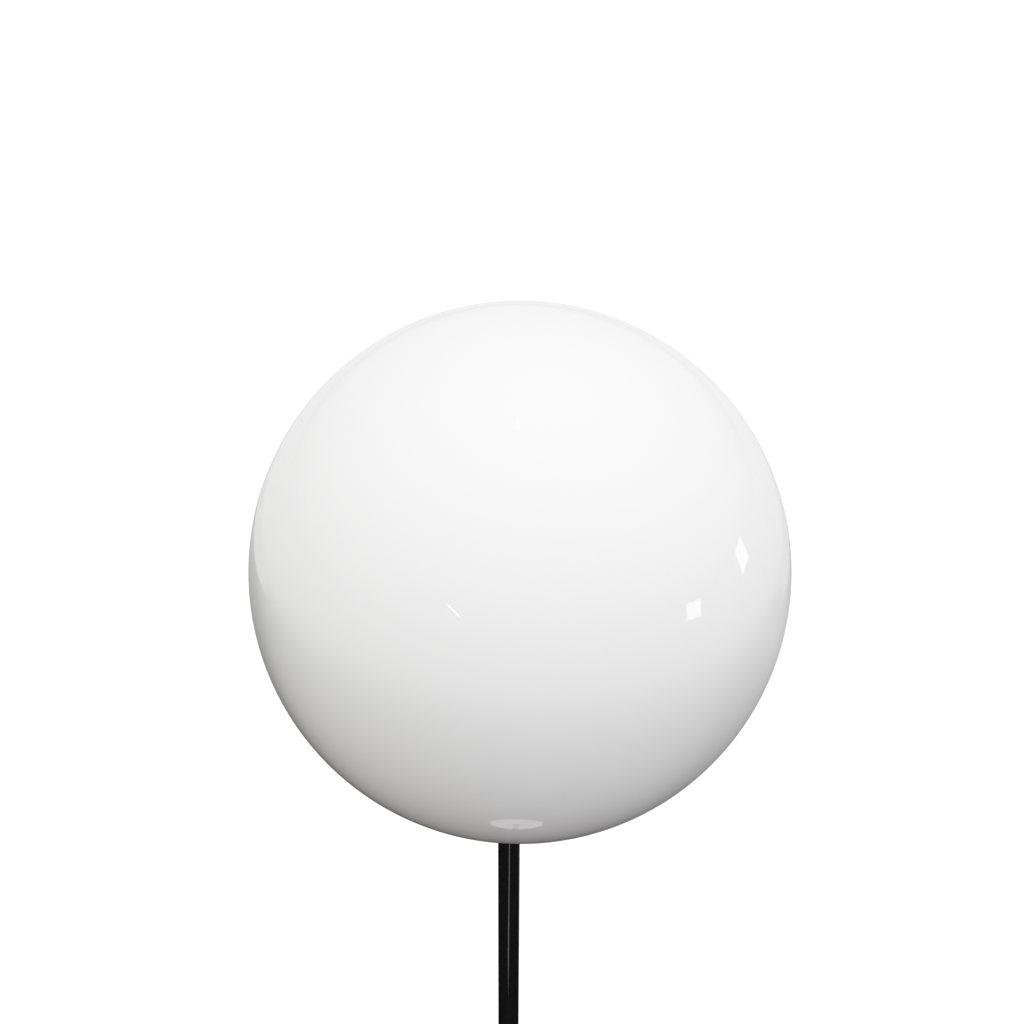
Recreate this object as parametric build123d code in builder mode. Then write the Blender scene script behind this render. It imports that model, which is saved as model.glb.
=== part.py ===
from build123d import *

import os
from math import atan2, cos, degrees, radians, sin, sqrt

# Globe floor lamp: an opal glass ball stands on its short neck in a shallow cup, held by
# three thumb screws, on a slim stem of two tubes screwed end to end. A round weighted base
# carries the stem. The lampholder and its bulb stand inside the ball.
#
# Frame: millimetres, +Z up, the origin on the floor in the middle of the base. The stem's
# axis is the Z axis. The lamp faces -Y, and the mains lead's grommet is at the back, on +Y.

# ---------------------------------------------------------------- driving dimensions

# Globe: blown opal glass with a short straight neck
globe_radius = 175.0
globe_wall = 3.5
neck_radius = 41.0  # outside
neck_length = 16.0  # straight part below the ball
neck_blend = 6.0  # where the ball runs into the neck
rim_rounding = 1.2  # the neck's rim is fire polished
globe_lean = 2.0  # degrees: the globe sits aslant on its soft gasket, towards +X

# Stem
tube_radius = 8.0
tube_wall = 1.5
tube_length = 550.0  # each of the two tubes
tube_edge = 0.25  # chamfer at a tube's ends
bush_length = 18.0  # threaded bush pressed into a tube's end
thread_radius = 5.0  # M10 x 1 hollow threaded rod
thread_bore = 3.5
thread_short = 1.0  # a rod stops this far inside its bush

# Base
base_radius = 120.0
base_height = 26.0
base_rim_gap = 1.0  # floor to the cover's rim
base_shoulder = 7.0  # rounded top edge of the cover
cover_sheet = 1.5
felt_thickness = 2.0
felt_margin = 1.0  # the felt is this much smaller than the ballast all round
ballast_gap = 1.5  # between the ballast and the cover's skirt
ballast_web = 3.5  # iron left over the nut
collar_radius = 12.0
collar_height = 6.0
collar_rounding = 2.0

# Base wiring
grommet_bore = 3.25
grommet_radius = 5.0  # the body that fills the hole in the skirt
grommet_flange = 6.2
grommet_flange_thickness = 2.0
grommet_height = 10.0  # its axis above the floor
lead_radius = 2.0
core_radius = 0.8
core_spacing = 1.8  # between the two cores where they leave the lead's sheath
core_run = 8.0  # length of the cores between the sheath and the terminals
lead_tail = 2.0  # the sheath stands this far out of the rod in the lampholder
lead_height = 6.5  # the lead's axis above the floor inside the base
block_width = 20.0
block_depth = 22.0
block_height = 12.0
block_lift = 1.0  # felt to the block
block_margin = 2.0  # room round the block in its pocket
block_start = 34.0  # from the stem's axis to the near face of the terminal block
terminal_pitch = 10.0
terminal_bore = 1.7
terminal_radius = 2.6
terminal_screw_radius = 1.4
channel_width = 14.0
channel_height = 15.0

# Cup that holds the globe's neck
cup_clearance = 3.0  # between the neck and the cup's wall
cup_wall = 2.0
cup_floor = 2.0
cup_depth = 14.0
gasket_thickness = 3.0  # under the middle of the neck
gasket_width = 6.0
gasket_margin = 0.5  # between the gasket and the cup's wall
gasket_air = 0.1  # the glass stands this far off the gasket
head_collar_radius = 19.0
head_collar_lip = 3.0

# Clamp screws through the cup's wall: the angle of each is from +X, towards +Y
clamp_angles = {"back": 90.0, "left": 210.0, "right": 330.0}
clamp_height = 7.5  # above the cup's floor
clamp_boss_radius = 4.2
clamp_boss_length = 4.0
clamp_shank_radius = 2.0
clamp_head_radius = 4.5
clamp_head_length = 6.0
clamp_head_air = 1.0  # between the head and the boss when tight
clamp_tip_radius = 1.9
clamp_tip_length = 2.0
clamp_tip_air = 0.3  # between the tip and the glass when tight
clamp_pin_radius = 1.0
clamp_pin_length = 1.2
knurl_count = 18
knurl_radius = 0.5

# Nuts and washers on the threaded rods
nut_across_flats = 14.0
nut_thickness = 5.0
washer_radius = 9.0
washer_thickness = 1.0

# Riser and lampholder (E27)
riser_radius = 7.0
riser_bore = 5.3
holder_radius = 20.0
holder_wall = 2.0
holder_rounding = 4.0
holder_cap_height = 22.0
holder_entry_radius = 9.0  # the cap's threaded entry
holder_entry_height = 8.0
holder_spigot = 6.0
holder_shell_height = 40.0
holder_lip = 2.0
core_height = 13.0
sleeve_wall = 0.5
sleeve_height = 19.0
sleeve_seat = 1.0  # how deep the screw sleeve sits in the core
spring_width = 7.0
spring_sheet = 0.6
spring_rise = 4.0
spring_foot = 9.0  # from the axis to the foot of the contact spring
holder_block_width = 5.0
holder_block_depth = 6.0
holder_block_height = 8.0
holder_block_offset = 9.0  # from the axis to the middle of each terminal
holder_screw_radius = 1.4
holder_screw_head = 2.2
holder_screw_head_height = 1.2

# Bulb (60 mm glass, E27 cap)
bulb_length = 106.0
bulb_radius = 30.0
bulb_wall = 0.8
bulb_neck_radius = 12.7
bulb_throat_blend = 14.0  # radius of the curve from the neck into the ball
bulb_glass_start = 9.0  # from the tip to the glass neck's end inside the cap
bulb_above_centre = 7.0  # the bulb's widest part is this far above the globe's centre
bulb_cap_radius = 13.2
bulb_cap_wall = 0.4
bulb_cap_height = 25.0
bulb_shoulder = 7.0  # from the tip to the cap's full width
bulb_insulator_radius = 9.5
bulb_insulator_height = 4.0
bulb_tip_radius = 4.6
bulb_tip_height = 1.6
bulb_seat_air = 0.3  # between the bulb's tip and the contact spring
bulb_post_radius = 1.5
bulb_flare_height = 14.0
filament_ring = 6.0
filament_radius = 0.9
filament_count = 4
filament_start = 50.0  # from the bulb's tip
filament_length = 34.0
spider_radius = 7.0
spider_sheet = 0.8

# Clearances
fit_gap = 0.05  # between a thread, a bush or a bore and what fills it
turning_gap = 0.06  # between pieces that turn on each other

# ---------------------------------------------------------------- heights worked out

ballast_radius = base_radius - cover_sheet - ballast_gap
ballast_top = base_height - cover_sheet
base_nut_top = ballast_top - ballast_web - washer_thickness
base_nut_start = base_nut_top - nut_thickness
block_middle = block_start + block_depth / 2
block_bottom = felt_thickness + block_lift
block_top = block_bottom + block_height

joint_height = base_height + tube_length
tube_end = joint_height + tube_length
head_collar_height = head_collar_radius - tube_radius + head_collar_lip
cup_underside = tube_end + head_collar_height
cup_top_of_floor = cup_underside + cup_floor
cup_inner = neck_radius + cup_clearance
cup_outer = cup_inner + cup_wall
clamp_axis_height = cup_top_of_floor + clamp_height
neck_rim_height = cup_top_of_floor + gasket_thickness
neck_drop = sqrt(globe_radius**2 - neck_radius**2) + neck_length

# The globe's own frame: its neck's rim stands on the gasket, leaning about the Y axis
lean_up = Vector(sin(radians(globe_lean)), 0, cos(radians(globe_lean)))
lean_right = Vector(cos(radians(globe_lean)), 0, -sin(radians(globe_lean)))
globe_axis = Axis((0, 0, neck_rim_height), lean_up)
globe_centre = Vector(0, 0, neck_rim_height) + lean_up * neck_drop
globe_section = Plane(origin=globe_centre, x_dir=lean_right, z_dir=(0, -1, 0))

# The lampholder's height follows from where the bulb has to be in the globe
bulb_start = globe_centre.Z + bulb_above_centre - (bulb_length - bulb_radius)
spring_top = bulb_start - bulb_seat_air
core_end = spring_top - spring_rise
core_start = core_end - core_height
shell_start = core_start - holder_spigot
holder_start = shell_start - holder_cap_height
shell_end = shell_start + holder_shell_height
riser_start = cup_top_of_floor + washer_thickness + nut_thickness
sleeve_inner = bulb_cap_radius + 2 * fit_gap
lead_top = holder_start + holder_entry_height + lead_tail


def write(builder, node):
    """Labels a finished piece with its name and writes it to its own file."""
    builder.part.label = node
    export_step(builder.part, f"parts/{node}.step")


def section_plane(height):
    """The upright plane through the Z axis, X across and Z up, with its origin at a height."""
    return Plane(origin=(0, 0, height), x_dir=(1, 0, 0), z_dir=(0, -1, 0))


def ring_piece(node, start, height, outer, inner):
    """Makes a piece that is a plain ring about the Z axis."""
    with BuildPart() as ring:
        with BuildSketch(Plane.XY.offset(start)):
            Circle(outer)
            Circle(inner, mode=Mode.SUBTRACT)
        extrude(amount=height)
    write(ring, node)


def nut_piece(node, start):
    """Makes a hexagon nut about the Z axis."""
    with BuildPart() as nut:
        with BuildSketch(Plane.XY.offset(start)):
            RegularPolygon(nut_across_flats / 2, 6, major_radius=False)
            Circle(thread_radius + fit_gap, mode=Mode.SUBTRACT)
        extrude(amount=nut_thickness)
    write(nut, node)


def core_pair(node, route):
    """Makes the two insulated cores that leave a sheath: the route is for the +X one."""
    with BuildPart() as cores:
        with BuildLine() as path:
            FilletPolyline(*route, radius=2 * core_radius)
        with BuildSketch(path.line ^ 0):
            Circle(core_radius)
        sweep()
        mirror(about=Plane.YZ)
    write(cores, node)


os.makedirs("parts", exist_ok=True)

# ---------------------------------------------------------------- base

# Felt disc glued under the ballast: the lamp stands on it
with BuildPart() as felt_pad:
    with BuildSketch():
        Circle(ballast_radius - felt_margin)
    extrude(amount=felt_thickness)
write(felt_pad, "felt_pad")

# Cast-iron ballast, with a recess for the nut and a channel to the back for the wiring
with BuildPart() as ballast:
    with BuildSketch(Plane.XY.offset(felt_thickness)):
        Circle(ballast_radius)
    extrude(amount=ballast_top - felt_thickness)
    chamfer(ballast.faces().sort_by(Axis.Z)[-1].edges(), base_shoulder)
    with BuildSketch(Plane.XY.offset(felt_thickness)):
        Circle(nut_across_flats)
    extrude(amount=ballast_top - ballast_web - felt_thickness, mode=Mode.SUBTRACT)
    with BuildSketch(Plane.XY.offset(felt_thickness)):
        with Locations((0, base_radius / 2)):
            Rectangle(channel_width, base_radius)
    extrude(amount=channel_height, mode=Mode.SUBTRACT)
    with BuildSketch(Plane.XY.offset(felt_thickness)):
        with Locations((0, block_middle)):
            Rectangle(block_width + 2 * block_margin, block_depth + 2 * block_margin)
    extrude(amount=block_top - felt_thickness, mode=Mode.SUBTRACT)
    with BuildSketch(Plane.XY.offset(felt_thickness)):
        Circle(thread_radius + fit_gap)
    extrude(amount=base_height, mode=Mode.SUBTRACT)
write(ballast, "ballast")

# Spun steel cover with a rounded shoulder, holed for the threaded rod and the grommet
with BuildPart() as base_cover:
    with BuildSketch(Plane.XY.offset(base_rim_gap)):
        Circle(base_radius)
    extrude(amount=base_height - base_rim_gap)
    fillet(base_cover.faces().sort_by(Axis.Z)[-1].edges(), base_shoulder)
    offset(amount=-cover_sheet, openings=base_cover.faces().sort_by(Axis.Z)[0])
    with BuildSketch(Plane.XY.offset(ballast_top)):
        Circle(thread_radius + fit_gap)
    extrude(amount=2 * cover_sheet, both=True, mode=Mode.SUBTRACT)
    with BuildSketch(Plane.XZ.offset(-base_radius)):
        with Locations((0, grommet_height)):
            Circle(grommet_radius + fit_gap)
    extrude(amount=4 * cover_sheet, both=True, mode=Mode.SUBTRACT)
write(base_cover, "base_cover")

# Rubber grommet snapped into the skirt at the back, bored for the mains lead
with BuildPart() as cord_grommet:
    with BuildSketch(Plane.YZ):
        grommet_outside = base_radius + fit_gap
        grommet_inside = base_radius - cover_sheet - 6 * fit_gap
        with BuildLine():
            Polyline(
                (grommet_outside + grommet_flange_thickness, grommet_height + grommet_bore),
                (grommet_outside + grommet_flange_thickness, grommet_height + grommet_flange),
                (grommet_outside, grommet_height + grommet_flange),
                (grommet_outside, grommet_height + grommet_radius),
                (grommet_inside, grommet_height + grommet_radius),
                (grommet_inside, grommet_height + grommet_flange),
                (grommet_inside - grommet_flange_thickness, grommet_height + grommet_flange),
                (grommet_inside - grommet_flange_thickness, grommet_height + grommet_bore),
                close=True,
            )
        make_face()
    revolve(axis=Axis((0, 0, grommet_height), (0, 1, 0)))
    outer_rims = cord_grommet.faces().sort_by(Axis.Y)[-1].edges()
    fillet(outer_rims.sort_by(SortBy.RADIUS)[-1], grommet_flange_thickness / 2)
write(cord_grommet, "cord_grommet")

# Terminal block stuck in the ballast's pocket, with two brass tubes and four screws
# whose heads face down
block_tubes = [(-terminal_pitch / 2, lead_height), (terminal_pitch / 2, lead_height)]
block_screws = [
    (x, y)
    for x in (-terminal_pitch / 2, terminal_pitch / 2)
    for y in (block_middle - block_depth / 4, block_middle + block_depth / 4)
]
with BuildPart() as terminal_block:
    with BuildSketch(Plane.XY.offset(block_bottom)):
        with Locations((0, block_middle)):
            Rectangle(block_width, block_depth)
    extrude(amount=block_height)
    chamfer(terminal_block.edges().filter_by(Axis.Z), block_margin)
    with BuildSketch(Plane.XZ.offset(-block_start)):
        with Locations(*block_tubes):
            Circle(terminal_radius + fit_gap)
    extrude(amount=-block_depth, mode=Mode.SUBTRACT)
    with BuildSketch(Plane.XY.offset(lead_height)):
        with Locations(*block_screws):
            Circle(terminal_screw_radius + fit_gap)
    extrude(amount=-block_height, mode=Mode.SUBTRACT)
write(terminal_block, "terminal_block")

with BuildPart() as terminal_tubes:
    with BuildSketch(Plane.XZ.offset(-block_start - fit_gap)):
        with Locations(*block_tubes):
            Circle(terminal_radius)
            Circle(terminal_bore, mode=Mode.SUBTRACT)
    extrude(amount=-(block_depth - 2 * fit_gap))
    with BuildSketch(Plane.XY.offset(lead_height)):
        with Locations(*block_screws):
            Circle(terminal_screw_radius + fit_gap)
    extrude(amount=-block_height, mode=Mode.SUBTRACT)
write(terminal_tubes, "terminal_tubes")

with BuildPart() as terminal_screws:
    with BuildSketch(Plane.XY.offset(block_bottom)):
        with Locations(*block_screws):
            Circle(terminal_screw_radius)
    extrude(amount=lead_height - core_radius - fit_gap - block_bottom)
write(terminal_screws, "terminal_screws")

# Hollow threaded rod, washer and nut that pull the stem down onto the base
base_rod_start = base_nut_start - thread_short
base_rod_end = base_height + bush_length - thread_short
ring_piece("base_rod", base_rod_start, base_rod_end - base_rod_start, thread_radius, thread_bore)
ring_piece("base_washer", base_nut_top, washer_thickness, washer_radius, thread_radius + fit_gap)
nut_piece("base_nut", base_nut_start)

# ---------------------------------------------------------------- stem

# Turned collar round the stem's foot
with BuildPart() as foot_collar:
    with BuildSketch(Plane.XY.offset(base_height)):
        Circle(collar_radius)
        Circle(tube_radius + fit_gap, mode=Mode.SUBTRACT)
    extrude(amount=collar_height)
    top_rims = foot_collar.faces().sort_by(Axis.Z)[-1].edges()
    fillet(top_rims.sort_by(SortBy.RADIUS)[-1], collar_rounding)
write(foot_collar, "foot_collar")

# Lower and upper tube, alike, with a threaded bush pressed into each end
for tube_name, tube_start in (("lower", base_height), ("upper", joint_height)):
    with BuildPart() as stem_tube:
        with BuildSketch(Plane.XY.offset(tube_start)):
            Circle(tube_radius)
            Circle(tube_radius - tube_wall, mode=Mode.SUBTRACT)
        extrude(amount=tube_length)
        end_rims = stem_tube.edges().filter_by(GeomType.CIRCLE).sort_by(SortBy.RADIUS)
        chamfer(end_rims[-2:], tube_edge)
    write(stem_tube, f"{tube_name}_tube")
    with BuildPart() as tube_bushes:
        for bush_start in (tube_start, tube_start + tube_length - bush_length):
            with BuildSketch(Plane.XY.offset(bush_start)):
                Circle(tube_radius - tube_wall - fit_gap)
                Circle(thread_radius + fit_gap, mode=Mode.SUBTRACT)
            extrude(amount=bush_length)
    write(tube_bushes, f"{tube_name}_tube_bushes")

# Threaded rod that joins the two tubes
joiner_half = bush_length - thread_short
ring_piece("joiner_rod", joint_height - joiner_half, 2 * joiner_half, thread_radius, thread_bore)

# ---------------------------------------------------------------- cup for the globe

# Turned flare that carries the cup on the stem
with BuildPart() as head_collar:
    with BuildSketch(Plane.XZ):
        with BuildLine():
            flare = CenterArc(
                (head_collar_radius, tube_end), head_collar_radius - tube_radius, 90, 90
            )
            Polyline(
                flare @ 0,
                (head_collar_radius, cup_underside),
                (thread_radius + fit_gap, cup_underside),
                (thread_radius + fit_gap, tube_end),
                flare @ 1,
            )
        make_face()
    revolve(axis=Axis.Z)
write(head_collar, "head_collar")


def clamp_plane(angle, radius):
    """The plane square to a clamp screw at a radius, its normal pointing outwards."""
    outward = Vector(cos(radians(angle)), sin(radians(angle)), 0)
    sideways = Vector(-sin(radians(angle)), cos(radians(angle)), 0)
    axis_point = outward * radius + Vector(0, 0, clamp_axis_height)
    return Plane(origin=axis_point, x_dir=sideways, z_dir=outward)


# Turned steel cup with a tapped boss for each clamp screw
with BuildPart() as globe_cup:
    with BuildSketch(Plane.XY.offset(cup_underside)):
        Circle(cup_outer)
    extrude(amount=cup_floor + cup_depth)
    chamfer(globe_cup.faces().sort_by(Axis.Z)[0].edges(), cup_floor)
    for angle in clamp_angles.values():
        with BuildSketch(clamp_plane(angle, cup_inner + cup_wall / 2)):
            Circle(clamp_boss_radius)
        extrude(amount=cup_wall / 2 + clamp_boss_length)
    with BuildSketch(Plane.XY.offset(cup_top_of_floor)):
        Circle(cup_inner)
    extrude(amount=cup_depth, mode=Mode.SUBTRACT)
    with BuildSketch(Plane.XY.offset(cup_underside)):
        Circle(thread_radius + fit_gap)
    extrude(amount=cup_floor, mode=Mode.SUBTRACT)
    for angle in clamp_angles.values():
        with BuildSketch(clamp_plane(angle, neck_radius)):
            Circle(clamp_shank_radius + fit_gap)
        extrude(amount=cup_outer + clamp_boss_length - neck_radius, mode=Mode.SUBTRACT)
write(globe_cup, "globe_cup")

# Silicone gasket under the globe's rim, squeezed thinner on the side the globe leans to
with BuildPart() as globe_gasket:
    gasket_outer = cup_inner - gasket_margin
    with BuildSketch(Plane.XY.offset(cup_top_of_floor)):
        Circle(gasket_outer)
        Circle(gasket_outer - gasket_width, mode=Mode.SUBTRACT)
    extrude(amount=2 * gasket_thickness)
    squeezed_top = Plane(origin=(0, 0, neck_rim_height - gasket_air), z_dir=lean_up)
    split(bisect_by=squeezed_top, keep=Keep.BOTTOM)
write(globe_gasket, "globe_gasket")

# Clamp screws: a nylon tip that bears on the glass turns in the end of each knurled screw
tip_start = neck_radius + clamp_tip_air
shank_start = tip_start + clamp_tip_length + turning_gap
head_start = cup_outer + clamp_boss_length + clamp_head_air
for clamp_name, angle in clamp_angles.items():
    with BuildPart() as clamp_tip:
        with BuildSketch(clamp_plane(angle, tip_start)):
            Circle(clamp_tip_radius)
        extrude(amount=clamp_tip_length)
        with BuildSketch(clamp_plane(angle, tip_start + clamp_tip_length)):
            Circle(clamp_pin_radius)
        extrude(amount=clamp_pin_length)
    write(clamp_tip, f"clamp_tip_{clamp_name}")
    with BuildPart() as clamp_screw:
        with BuildSketch(clamp_plane(angle, shank_start)):
            Circle(clamp_shank_radius)
        extrude(amount=head_start - shank_start)
        with BuildSketch(clamp_plane(angle, head_start)):
            Circle(clamp_head_radius)
            with PolarLocations(clamp_head_radius, knurl_count):
                Circle(knurl_radius, mode=Mode.SUBTRACT)
        extrude(amount=clamp_head_length)
        with BuildSketch(clamp_plane(angle, shank_start)):
            Circle(clamp_pin_radius + turning_gap)
        extrude(amount=clamp_pin_length + turning_gap, mode=Mode.SUBTRACT)
    write(clamp_screw, f"clamp_screw_{clamp_name}")

# ---------------------------------------------------------------- riser and lampholder

# Threaded rod from the upper tube, through the cup, to the lampholder
head_rod_start = tube_end - joiner_half
head_rod_end = holder_start + holder_entry_height
ring_piece("head_rod", head_rod_start, head_rod_end - head_rod_start, thread_radius, thread_bore)
ring_piece(
    "cup_washer", cup_top_of_floor, washer_thickness, washer_radius, thread_radius + fit_gap
)
nut_piece("cup_nut", cup_top_of_floor + washer_thickness)
ring_piece("riser", riser_start, holder_start - riser_start, riser_radius, riser_bore)

# Lampholder cap: a cup with a threaded entry and a spigot that the shell screws onto
with BuildPart() as holder_cap:
    with BuildSketch(Plane.XY.offset(holder_start)):
        Circle(holder_radius)
    extrude(amount=holder_cap_height)
    fillet(holder_cap.faces().sort_by(Axis.Z)[0].edges(), holder_rounding)
    with BuildSketch(Plane.XY.offset(shell_start)):
        Circle(holder_radius - holder_wall - fit_gap)
    extrude(amount=holder_spigot)
    with BuildSketch(Plane.XY.offset(holder_start + holder_wall)):
        Circle(holder_radius - 2 * holder_wall)
    extrude(amount=holder_cap_height + holder_spigot - holder_wall, mode=Mode.SUBTRACT)
    with BuildSketch(Plane.XY.offset(holder_start)):
        Circle(holder_entry_radius)
    extrude(amount=holder_entry_height)
    with BuildSketch(Plane.XY.offset(holder_start)):
        Circle(thread_radius + fit_gap)
    extrude(amount=holder_entry_height, mode=Mode.SUBTRACT)
write(holder_cap, "holder_cap")

# Lampholder shell, with a lip at the mouth
with BuildPart() as holder_shell:
    with BuildSketch(Plane.XY.offset(shell_start)):
        Circle(holder_radius)
    extrude(amount=holder_shell_height)
    fillet(holder_shell.faces().sort_by(Axis.Z)[-1].edges(), holder_lip / 2)
    with BuildSketch(Plane.XY.offset(shell_start)):
        Circle(holder_radius - holder_wall)
    extrude(amount=holder_shell_height - holder_lip, mode=Mode.SUBTRACT)
    with BuildSketch(Plane.XY.offset(shell_start)):
        Circle(sleeve_inner + sleeve_wall)
    extrude(amount=holder_shell_height, mode=Mode.SUBTRACT)
write(holder_shell, "holder_shell")

# Ceramic core on the cap's spigot, grooved for the screw sleeve
with BuildPart() as holder_core:
    with BuildSketch(Plane.XY.offset(core_start)):
        Circle(holder_radius - holder_wall - fit_gap)
    extrude(amount=core_height)
    with BuildSketch(Plane.XY.offset(core_end)):
        Circle(sleeve_inner + sleeve_wall + fit_gap)
        Circle(sleeve_inner - fit_gap, mode=Mode.SUBTRACT)
    extrude(amount=-sleeve_seat, mode=Mode.SUBTRACT)
write(holder_core, "holder_core")

ring_piece(
    "holder_sleeve",
    core_end - sleeve_seat,
    sleeve_seat + sleeve_height,
    sleeve_inner + sleeve_wall,
    sleeve_inner,
)

# Bronze contact spring, bent up from its foot on the core to meet the bulb's tip
with BuildPart() as holder_spring:
    with BuildSketch(Plane.XZ):
        with BuildLine():
            Polyline(
                (-spring_foot, core_end),
                (-spring_foot / 2, core_end),
                (-spring_rise / 4, spring_top - spring_sheet),
                (spring_rise / 2, spring_top - spring_sheet),
                (spring_rise, core_end + spring_rise / 2),
                (spring_rise + spring_sheet, core_end + spring_rise / 2),
                (spring_rise / 2 + spring_sheet / 2, spring_top),
                (-spring_rise / 4 - spring_sheet / 2, spring_top),
                (-spring_foot / 2 - spring_sheet / 2, core_end + spring_sheet),
                (-spring_foot, core_end + spring_sheet),
                close=True,
            )
        make_face()
    extrude(amount=spring_width / 2, both=True)
write(holder_spring, "holder_spring")

# Two brass terminals under the core, each with a screw in its outer face
terminal_face = holder_block_offset + holder_block_width / 2
terminal_screw_height = core_start - holder_block_height / 2
with BuildPart() as holder_terminals:
    with BuildSketch(Plane.XY.offset(core_start - holder_block_height)):
        with Locations((holder_block_offset, 0)):
            Rectangle(holder_block_width, holder_block_depth)
            Circle(core_radius + fit_gap, mode=Mode.SUBTRACT)
    extrude(amount=holder_block_height)
    with BuildSketch(Plane.YZ.offset(holder_block_offset)):
        with Locations((0, terminal_screw_height)):
            Circle(holder_screw_radius + fit_gap)
    extrude(amount=holder_block_width, mode=Mode.SUBTRACT)
    mirror(about=Plane.YZ)
write(holder_terminals, "holder_terminals")

screw_tip = holder_block_offset + core_radius + fit_gap
with BuildPart() as holder_screws:
    with BuildSketch(Plane.YZ.offset(screw_tip)):
        with Locations((0, terminal_screw_height)):
            Circle(holder_screw_radius)
    extrude(amount=terminal_face - screw_tip)
    with BuildSketch(Plane.YZ.offset(terminal_face)):
        with Locations((0, terminal_screw_height)):
            Circle(holder_screw_head)
    extrude(amount=holder_screw_head_height)
    mirror(about=Plane.YZ)
write(holder_screws, "holder_screws")

# ---------------------------------------------------------------- inner lead

# Two-core lead from the lampholder down the stem, turned to the back under the base rod
lead_end = block_start - core_run
with BuildPart() as inner_lead:
    with BuildLine() as lead_path:
        FilletPolyline(
            (0, 0, lead_top),
            (0, 0, lead_height),
            (0, lead_end, lead_height),
            radius=base_rod_start - lead_height,
        )
    with BuildSketch(lead_path.line ^ 0):
        Circle(lead_radius)
    sweep()
write(inner_lead, "inner_lead")

core_pair(
    "base_cores",
    [
        (core_spacing / 2, lead_end, lead_height),
        (core_spacing / 2, lead_end + core_run / 4, lead_height),
        (terminal_pitch / 2, block_start - core_run / 8, lead_height),
        (terminal_pitch / 2, block_middle, lead_height),
    ],
)
core_pair(
    "holder_cores",
    [
        (core_spacing / 2, 0, lead_top),
        (core_spacing / 2, 0, lead_top + core_run / 4),
        (holder_block_offset, 0, core_start - holder_block_height - core_run / 4),
        (holder_block_offset, 0, core_start - holder_block_height / 4),
    ],
)

# ---------------------------------------------------------------- bulb


def ball_on_neck(ball, neck, blend, wall, bottom):
    """Draws half the section of a hollow ball that runs into an open neck below it.

    The ball's centre is at the sketch's origin, and blend is the outside radius of the
    curve between neck and ball.
    """
    blend_x = neck + blend
    blend_y = -sqrt((ball + blend) ** 2 - blend_x**2)
    turn = degrees(atan2(blend_y, blend_x))
    for depth in (0, wall):
        CenterArc((0, 0), ball - depth, turn, 90 - turn)
        CenterArc((blend_x, blend_y), blend + depth, 180 + turn, -turn)
        Line((neck - depth, blend_y), (neck - depth, bottom))
    Line((neck - wall, bottom), (neck, bottom))
    Line((0, ball - wall), (0, ball))


# Frosted glass envelope
bulb_middle = bulb_length - bulb_radius
with BuildPart() as bulb_glass:
    with BuildSketch(section_plane(bulb_start + bulb_middle)):
        with BuildLine():
            ball_on_neck(
                bulb_radius,
                bulb_neck_radius,
                bulb_throat_blend,
                bulb_wall,
                bulb_glass_start - bulb_middle,
            )
        make_face()
    revolve(axis=Axis.Z)
write(bulb_glass, "bulb_glass")

# Plated cap, pressed from thin sheet
with BuildPart() as bulb_cap:
    with BuildSketch(section_plane(bulb_start)):
        with BuildLine():
            Polyline(
                (bulb_insulator_radius, bulb_insulator_height),
                (bulb_cap_radius, bulb_shoulder),
                (bulb_cap_radius, bulb_cap_height),
                (bulb_cap_radius - bulb_cap_wall, bulb_cap_height),
                (bulb_cap_radius - bulb_cap_wall, bulb_shoulder),
                (bulb_insulator_radius, bulb_insulator_height + bulb_cap_wall),
                close=True,
            )
        make_face()
    revolve(axis=Axis.Z)
write(bulb_cap, "bulb_cap")

# Black glass insulator in the cap's end
with BuildPart() as bulb_insulator:
    with BuildSketch(section_plane(bulb_start)):
        with BuildLine():
            Polyline(
                (0, bulb_tip_height),
                (bulb_tip_radius, bulb_tip_height),
                (bulb_insulator_radius, bulb_insulator_height),
                (bulb_insulator_radius, bulb_insulator_height + bulb_cap_wall),
                (0, bulb_insulator_height + bulb_cap_wall),
                close=True,
            )
        make_face()
    revolve(axis=Axis.Z)
write(bulb_insulator, "bulb_insulator")

# Tip that meets the contact spring
with BuildPart() as bulb_tip:
    with BuildSketch(Plane.XY.offset(bulb_start)):
        Circle(bulb_tip_radius)
    extrude(amount=bulb_tip_height - turning_gap)
    fillet(bulb_tip.faces().sort_by(Axis.Z)[0].edges(), bulb_tip_height / 2)
write(bulb_tip, "bulb_tip")

# Glass post that closes the neck and carries the filaments
with BuildPart() as bulb_post:
    with BuildSketch(section_plane(bulb_start)):
        flare_radius = bulb_neck_radius - bulb_wall - fit_gap
        with BuildLine():
            Polyline(
                (0, bulb_glass_start),
                (flare_radius, bulb_glass_start),
                (flare_radius, bulb_glass_start + 2 * bulb_wall),
                (bulb_post_radius, bulb_glass_start + bulb_flare_height),
                (bulb_post_radius, filament_start + filament_length),
                (0, filament_start + filament_length),
                close=True,
            )
        make_face()
    revolve(axis=Axis.Z)
write(bulb_post, "bulb_post")

# Filament rods between two spiders on the post
with BuildPart() as bulb_filaments:
    for spider_start in (filament_start, filament_start + filament_length - spider_sheet):
        with BuildSketch(Plane.XY.offset(bulb_start + spider_start)):
            Circle(spider_radius)
            Circle(bulb_post_radius + fit_gap, mode=Mode.SUBTRACT)
        extrude(amount=spider_sheet)
    with BuildSketch(Plane.XY.offset(bulb_start + filament_start)):
        with PolarLocations(filament_ring, filament_count):
            Circle(filament_radius)
    extrude(amount=filament_length)
write(bulb_filaments, "bulb_filaments")

# ---------------------------------------------------------------- globe

with BuildPart() as globe:
    with BuildSketch(globe_section):
        with BuildLine():
            ball_on_neck(globe_radius, neck_radius, neck_blend, globe_wall, -neck_drop)
        make_face()
    revolve(axis=globe_axis)
    fillet(globe.edges().sort_by(globe_axis)[:2], rim_rounding)
write(globe, "globe")
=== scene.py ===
from math import atan2, cos, degrees, pi, radians, sin, sqrt

import bmesh
import bpy
from mathutils import Matrix, Vector


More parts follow.
